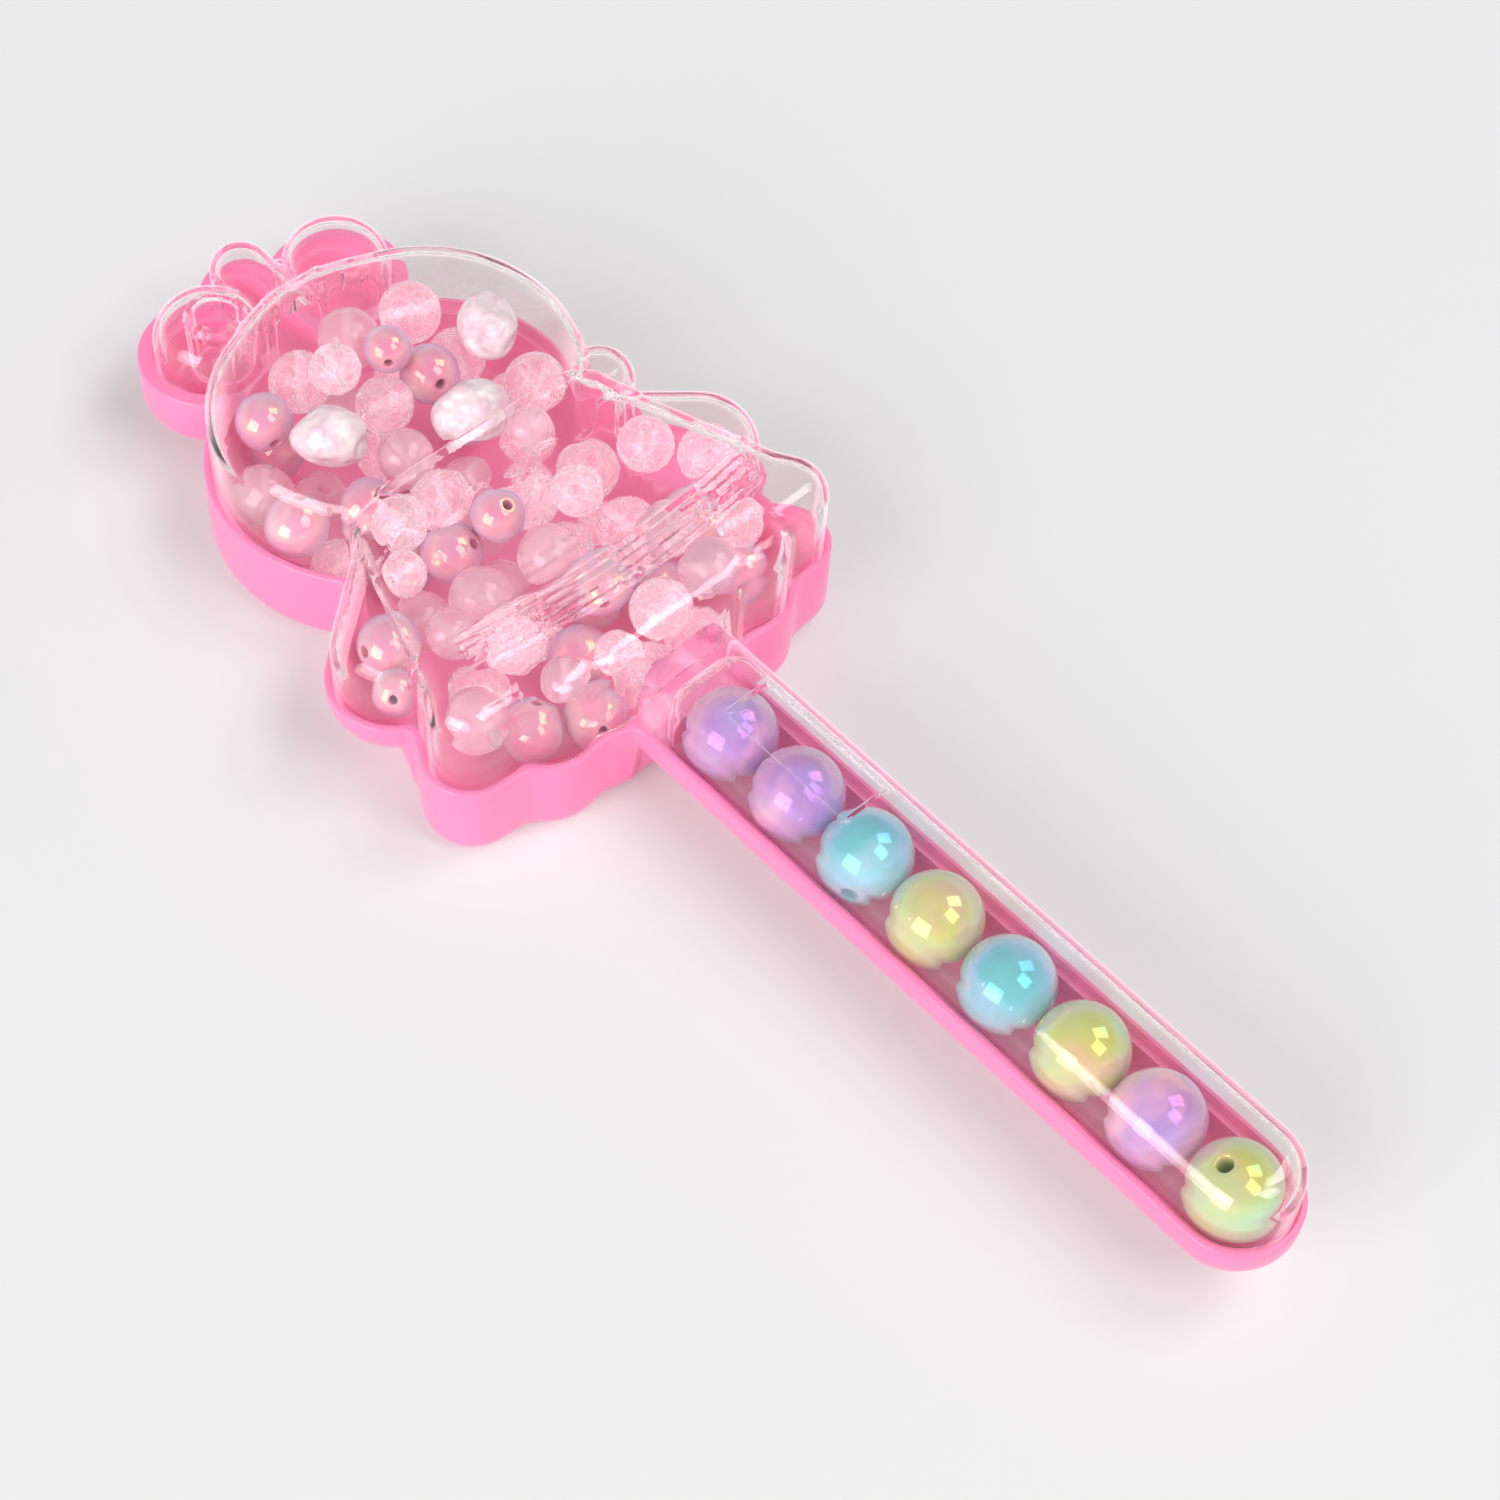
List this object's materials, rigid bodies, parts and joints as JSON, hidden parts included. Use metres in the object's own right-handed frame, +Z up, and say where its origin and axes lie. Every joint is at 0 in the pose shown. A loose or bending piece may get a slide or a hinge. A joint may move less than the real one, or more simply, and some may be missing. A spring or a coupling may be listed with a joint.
{
  "type": "baby rattle",
  "caption": "Hand rattle: an opaque tray under a clear cover, with loose beads in its figure-shaped head and a row of beads along a straight handle.",
  "frame": {"origin": "under the middle of the rattle, on the surface it lies on with its tray down", "axes": "+X along the handle to its free end, +Y across the rattle, +Z up through the clear cover"},
  "size_m": [0.1986, 0.069, 0.0265],
  "materials": {
    "tray": "glossy opaque",
    "clear": "clear rigid plastic, polished",
    "lilac": "pearl",
    "aqua": "pearl",
    "yellow": "pearl",
    "pink_pearl": "pearl",
    "crackle": "crackled clear plastic",
    "rose": "tinted clear plastic",
    "milky": "cloudy satin"
  },
  "bodies": {
    "shell": {"back_tray": "tray", "front_cover": "clear"},
    "row_1": {"handle_bead_1": "lilac"},
    "row_2": {"handle_bead_2": "lilac"},
    "row_3": {"handle_bead_3": "aqua"},
    "row_4": {"handle_bead_4": "yellow"},
    "row_5": {"handle_bead_5": "aqua"},
    "row_6": {"handle_bead_6": "yellow"},
    "row_7": {"handle_bead_7": "lilac"},
    "row_8": {"handle_bead_8": "yellow"},
    "fill_01": {"head_bead_01": "pink_pearl"},
    "fill_02": {"head_bead_02": "rose"},
    "fill_03": {"head_bead_03": "pink_pearl"},
    "fill_04": {"head_bead_04": "pink_pearl"},
    "fill_05": {"head_bead_05": "milky"},
    "fill_06": {"head_bead_06": "milky"},
    "fill_07": {"head_bead_07": "milky"},
    "fill_08": {"head_bead_08": "crackle"},
    "fill_09": {"head_bead_09": "crackle"},
    "fill_10": {"head_bead_10": "rose"},
    "fill_11": {"head_bead_11": "rose"},
    "fill_12": {"head_bead_12": "crackle"},
    "fill_13": {"head_bead_13": "crackle"},
    "fill_14": {"head_bead_14": "pink_pearl"},
    "fill_15": {"head_bead_15": "pink_pearl"},
    "fill_16": {"head_bead_16": "pink_pearl"},
    "fill_17": {"head_bead_17": "pink_pearl"},
    "fill_18": {"head_bead_18": "crackle"},
    "fill_19": {"head_bead_19": "crackle"},
    "fill_20": {"head_bead_20": "crackle"},
    "fill_21": {"head_bead_21": "pink_pearl"},
    "fill_22": {"head_bead_22": "rose"},
    "fill_23": {"head_bead_23": "pink_pearl"},
    "fill_24": {"head_bead_24": "pink_pearl"},
    "fill_25": {"head_bead_25": "rose"},
    "fill_26": {"head_bead_26": "pink_pearl"},
    "fill_27": {"head_bead_27": "pink_pearl"},
    "fill_28": {"head_bead_28": "crackle"},
    "fill_29": {"head_bead_29": "crackle"},
    "fill_30": {"head_bead_30": "crackle"},
    "fill_31": {"head_bead_31": "crackle"},
    "fill_32": {"head_bead_32": "pink_pearl"},
    "fill_33": {"head_bead_33": "rose"},
    "fill_34": {"head_bead_34": "crackle"},
    "fill_35": {"head_bead_35": "rose"},
    "fill_36": {"head_bead_36": "crackle"},
    "fill_37": {"head_bead_37": "pink_pearl"},
    "fill_38": {"head_bead_38": "crackle"},
    "fill_39": {"head_bead_39": "pink_pearl"},
    "fill_40": {"head_bead_40": "rose"},
    "fill_41": {"head_bead_41": "crackle"},
    "fill_42": {"head_bead_42": "pink_pearl"},
    "fill_43": {"head_bead_43": "rose"},
    "fill_44": {"head_bead_44": "crackle"},
    "fill_45": {"head_bead_45": "rose"},
    "fill_46": {"head_bead_46": "crackle"},
    "fill_47": {"head_bead_47": "crackle"},
    "fill_48": {"head_bead_48": "pink_pearl"}
  },
  "joints": [
    {"name": "row_1_slide", "type": "slide", "parent": "shell", "child": "row_1", "axis": [1, 0, 0], "range_m": [0, 0.0019]},
    {"name": "row_2_slide", "type": "slide", "parent": "shell", "child": "row_2", "axis": [1, 0, 0], "range_m": [0, 0.0017]},
    {"name": "row_3_slide", "type": "slide", "parent": "shell", "child": "row_3", "axis": [1, 0, 0], "range_m": [0, 0.0015]},
    {"name": "row_4_slide", "type": "slide", "parent": "shell", "child": "row_4", "axis": [1, 0, 0], "range_m": [0, 0.0013]},
    {"name": "row_5_slide", "type": "slide", "parent": "shell", "child": "row_5", "axis": [1, 0, 0], "range_m": [0, 0.0011]},
    {"name": "row_6_slide", "type": "slide", "parent": "shell", "child": "row_6", "axis": [1, 0, 0], "range_m": [0, 0.0009]},
    {"name": "row_7_slide", "type": "slide", "parent": "shell", "child": "row_7", "axis": [1, 0, 0], "range_m": [0, 0.0007]},
    {"name": "row_8_slide", "type": "slide", "parent": "shell", "child": "row_8", "axis": [1, 0, 0], "range_m": [0, 0.0005]},
    {"name": "fill_01_slide", "type": "slide", "parent": "shell", "child": "fill_01", "axis": [1, 0, 0], "range_m": [-0.001, 0.001]},
    {"name": "fill_02_slide", "type": "slide", "parent": "shell", "child": "fill_02", "axis": [1, 0, 0], "range_m": [-0.001, 0.001]},
    {"name": "fill_03_slide", "type": "slide", "parent": "shell", "child": "fill_03", "axis": [1, 0, 0], "range_m": [-0.001, 0.001]},
    {"name": "fill_04_slide", "type": "slide", "parent": "shell", "child": "fill_04", "axis": [1, 0, 0], "range_m": [-0.001, 0.001]},
    {"name": "fill_05_slide", "type": "slide", "parent": "shell", "child": "fill_05", "axis": [1, 0, 0], "range_m": [-0.001, 0.001]},
    {"name": "fill_06_slide", "type": "slide", "parent": "shell", "child": "fill_06", "axis": [1, 0, 0], "range_m": [-0.001, 0.001]},
    {"name": "fill_07_slide", "type": "slide", "parent": "shell", "child": "fill_07", "axis": [1, 0, 0], "range_m": [-0.001, 0.001]},
    {"name": "fill_08_slide", "type": "slide", "parent": "shell", "child": "fill_08", "axis": [1, 0, 0], "range_m": [-0.001, 0.001]},
    {"name": "fill_09_slide", "type": "slide", "parent": "shell", "child": "fill_09", "axis": [1, 0, 0], "range_m": [-0.001, 0.001]},
    {"name": "fill_10_slide", "type": "slide", "parent": "shell", "child": "fill_10", "axis": [1, 0, 0], "range_m": [-0.001, 0.001]},
    {"name": "fill_11_slide", "type": "slide", "parent": "shell", "child": "fill_11", "axis": [1, 0, 0], "range_m": [-0.001, 0.001]},
    {"name": "fill_12_slide", "type": "slide", "parent": "shell", "child": "fill_12", "axis": [1, 0, 0], "range_m": [-0.001, 0.001]},
    {"name": "fill_13_slide", "type": "slide", "parent": "shell", "child": "fill_13", "axis": [1, 0, 0], "range_m": [-0.001, 0.001]},
    {"name": "fill_14_slide", "type": "slide", "parent": "shell", "child": "fill_14", "axis": [1, 0, 0], "range_m": [-0.001, 0.001]},
    {"name": "fill_15_slide", "type": "slide", "parent": "shell", "child": "fill_15", "axis": [1, 0, 0], "range_m": [-0.001, 0.001]},
    {"name": "fill_16_slide", "type": "slide", "parent": "shell", "child": "fill_16", "axis": [1, 0, 0], "range_m": [-0.001, 0.001]},
    {"name": "fill_17_slide", "type": "slide", "parent": "shell", "child": "fill_17", "axis": [1, 0, 0], "range_m": [-0.001, 0.001]},
    {"name": "fill_18_slide", "type": "slide", "parent": "shell", "child": "fill_18", "axis": [1, 0, 0], "range_m": [-0.001, 0.001]},
    {"name": "fill_19_slide", "type": "slide", "parent": "shell", "child": "fill_19", "axis": [1, 0, 0], "range_m": [-0.001, 0.001]},
    {"name": "fill_20_slide", "type": "slide", "parent": "shell", "child": "fill_20", "axis": [1, 0, 0], "range_m": [-0.001, 0.001]},
    {"name": "fill_21_slide", "type": "slide", "parent": "shell", "child": "fill_21", "axis": [1, 0, 0], "range_m": [-0.001, 0.001]},
    {"name": "fill_22_slide", "type": "slide", "parent": "shell", "child": "fill_22", "axis": [1, 0, 0], "range_m": [-0.001, 0.001]},
    {"name": "fill_23_slide", "type": "slide", "parent": "shell", "child": "fill_23", "axis": [1, 0, 0], "range_m": [-0.001, 0.001]},
    {"name": "fill_24_slide", "type": "slide", "parent": "shell", "child": "fill_24", "axis": [1, 0, 0], "range_m": [-0.001, 0.001]},
    {"name": "fill_25_slide", "type": "slide", "parent": "shell", "child": "fill_25", "axis": [1, 0, 0], "range_m": [-0.001, 0.001]},
    {"name": "fill_26_slide", "type": "slide", "parent": "shell", "child": "fill_26", "axis": [1, 0, 0], "range_m": [-0.001, 0.001]},
    {"name": "fill_27_slide", "type": "slide", "parent": "shell", "child": "fill_27", "axis": [1, 0, 0], "range_m": [-0.001, 0.001]},
    {"name": "fill_28_slide", "type": "slide", "parent": "shell", "child": "fill_28", "axis": [1, 0, 0], "range_m": [-0.001, 0.001]},
    {"name": "fill_29_slide", "type": "slide", "parent": "shell", "child": "fill_29", "axis": [1, 0, 0], "range_m": [-0.001, 0.001]},
    {"name": "fill_30_slide", "type": "slide", "parent": "shell", "child": "fill_30", "axis": [1, 0, 0], "range_m": [-0.001, 0.001]},
    {"name": "fill_31_slide", "type": "slide", "parent": "shell", "child": "fill_31", "axis": [1, 0, 0], "range_m": [-0.001, 0.001]},
    {"name": "fill_32_slide", "type": "slide", "parent": "shell", "child": "fill_32", "axis": [1, 0, 0], "range_m": [-0.001, 0.001]},
    {"name": "fill_33_slide", "type": "slide", "parent": "shell", "child": "fill_33", "axis": [1, 0, 0], "range_m": [-0.001, 0.001]},
    {"name": "fill_34_slide", "type": "slide", "parent": "shell", "child": "fill_34", "axis": [1, 0, 0], "range_m": [-0.001, 0.001]},
    {"name": "fill_35_slide", "type": "slide", "parent": "shell", "child": "fill_35", "axis": [1, 0, 0], "range_m": [-0.001, 0.001]},
    {"name": "fill_36_slide", "type": "slide", "parent": "shell", "child": "fill_36", "axis": [1, 0, 0], "range_m": [-0.001, 0.001]},
    {"name": "fill_37_slide", "type": "slide", "parent": "shell", "child": "fill_37", "axis": [1, 0, 0], "range_m": [-0.001, 0.001]},
    {"name": "fill_38_slide", "type": "slide", "parent": "shell", "child": "fill_38", "axis": [1, 0, 0], "range_m": [-0.001, 0.001]},
    {"name": "fill_39_slide", "type": "slide", "parent": "shell", "child": "fill_39", "axis": [1, 0, 0], "range_m": [-0.001, 0.001]},
    {"name": "fill_40_slide", "type": "slide", "parent": "shell", "child": "fill_40", "axis": [1, 0, 0], "range_m": [-0.001, 0.001]},
    {"name": "fill_41_slide", "type": "slide", "parent": "shell", "child": "fill_41", "axis": [1, 0, 0], "range_m": [-0.001, 0.001]},
    {"name": "fill_42_slide", "type": "slide", "parent": "shell", "child": "fill_42", "axis": [1, 0, 0], "range_m": [-0.001, 0.001]},
    {"name": "fill_43_slide", "type": "slide", "parent": "shell", "child": "fill_43", "axis": [1, 0, 0], "range_m": [-0.001, 0.001]},
    {"name": "fill_44_slide", "type": "slide", "parent": "shell", "child": "fill_44", "axis": [1, 0, 0], "range_m": [-0.001, 0.001]},
    {"name": "fill_45_slide", "type": "slide", "parent": "shell", "child": "fill_45", "axis": [1, 0, 0], "range_m": [-0.001, 0.001]},
    {"name": "fill_46_slide", "type": "slide", "parent": "shell", "child": "fill_46", "axis": [1, 0, 0], "range_m": [-0.001, 0.001]},
    {"name": "fill_47_slide", "type": "slide", "parent": "shell", "child": "fill_47", "axis": [1, 0, 0], "range_m": [-0.001, 0.001]},
    {"name": "fill_48_slide", "type": "slide", "parent": "shell", "child": "fill_48", "axis": [1, 0, 0], "range_m": [-0.001, 0.001]}
  ],
  "couplings": [
    {"joint": "row_2_slide", "follows": "row_1_slide", "ratio": 0.89473},
    {"joint": "row_3_slide", "follows": "row_1_slide", "ratio": 0.78946},
    {"joint": "row_4_slide", "follows": "row_1_slide", "ratio": 0.6842},
    {"joint": "row_5_slide", "follows": "row_1_slide", "ratio": 0.57894},
    {"joint": "row_6_slide", "follows": "row_1_slide", "ratio": 0.47367},
    {"joint": "row_7_slide", "follows": "row_1_slide", "ratio": 0.36841},
    {"joint": "row_8_slide", "follows": "row_1_slide", "ratio": 0.26315},
    {"joint": "fill_02_slide", "follows": "fill_01_slide", "ratio": 1},
    {"joint": "fill_03_slide", "follows": "fill_01_slide", "ratio": 1},
    {"joint": "fill_04_slide", "follows": "fill_01_slide", "ratio": 1},
    {"joint": "fill_05_slide", "follows": "fill_01_slide", "ratio": 1},
    {"joint": "fill_06_slide", "follows": "fill_01_slide", "ratio": 1},
    {"joint": "fill_07_slide", "follows": "fill_01_slide", "ratio": 1},
    {"joint": "fill_08_slide", "follows": "fill_01_slide", "ratio": 1},
    {"joint": "fill_09_slide", "follows": "fill_01_slide", "ratio": 1},
    {"joint": "fill_10_slide", "follows": "fill_01_slide", "ratio": 1},
    {"joint": "fill_11_slide", "follows": "fill_01_slide", "ratio": 1},
    {"joint": "fill_12_slide", "follows": "fill_01_slide", "ratio": 1},
    {"joint": "fill_13_slide", "follows": "fill_01_slide", "ratio": 1},
    {"joint": "fill_14_slide", "follows": "fill_01_slide", "ratio": 1},
    {"joint": "fill_15_slide", "follows": "fill_01_slide", "ratio": 1},
    {"joint": "fill_16_slide", "follows": "fill_01_slide", "ratio": 1},
    {"joint": "fill_17_slide", "follows": "fill_01_slide", "ratio": 1},
    {"joint": "fill_18_slide", "follows": "fill_01_slide", "ratio": 1},
    {"joint": "fill_19_slide", "follows": "fill_01_slide", "ratio": 1},
    {"joint": "fill_20_slide", "follows": "fill_01_slide", "ratio": 1},
    {"joint": "fill_21_slide", "follows": "fill_01_slide", "ratio": 1},
    {"joint": "fill_22_slide", "follows": "fill_01_slide", "ratio": 1},
    {"joint": "fill_23_slide", "follows": "fill_01_slide", "ratio": 1},
    {"joint": "fill_24_slide", "follows": "fill_01_slide", "ratio": 1},
    {"joint": "fill_25_slide", "follows": "fill_01_slide", "ratio": 1},
    {"joint": "fill_26_slide", "follows": "fill_01_slide", "ratio": 1},
    {"joint": "fill_27_slide", "follows": "fill_01_slide", "ratio": 1},
    {"joint": "fill_28_slide", "follows": "fill_01_slide", "ratio": 1},
    {"joint": "fill_29_slide", "follows": "fill_01_slide", "ratio": 1},
    {"joint": "fill_30_slide", "follows": "fill_01_slide", "ratio": 1},
    {"joint": "fill_31_slide", "follows": "fill_01_slide", "ratio": 1},
    {"joint": "fill_32_slide", "follows": "fill_01_slide", "ratio": 1},
    {"joint": "fill_33_slide", "follows": "fill_01_slide", "ratio": 1},
    {"joint": "fill_34_slide", "follows": "fill_01_slide", "ratio": 1},
    {"joint": "fill_35_slide", "follows": "fill_01_slide", "ratio": 1},
    {"joint": "fill_36_slide", "follows": "fill_01_slide", "ratio": 1},
    {"joint": "fill_37_slide", "follows": "fill_01_slide", "ratio": 1},
    {"joint": "fill_38_slide", "follows": "fill_01_slide", "ratio": 1},
    {"joint": "fill_39_slide", "follows": "fill_01_slide", "ratio": 1},
    {"joint": "fill_40_slide", "follows": "fill_01_slide", "ratio": 1},
    {"joint": "fill_41_slide", "follows": "fill_01_slide", "ratio": 1},
    {"joint": "fill_42_slide", "follows": "fill_01_slide", "ratio": 1},
    {"joint": "fill_43_slide", "follows": "fill_01_slide", "ratio": 1},
    {"joint": "fill_44_slide", "follows": "fill_01_slide", "ratio": 1},
    {"joint": "fill_45_slide", "follows": "fill_01_slide", "ratio": 1},
    {"joint": "fill_46_slide", "follows": "fill_01_slide", "ratio": 1},
    {"joint": "fill_47_slide", "follows": "fill_01_slide", "ratio": 1},
    {"joint": "fill_48_slide", "follows": "fill_01_slide", "ratio": 1}
  ]
}
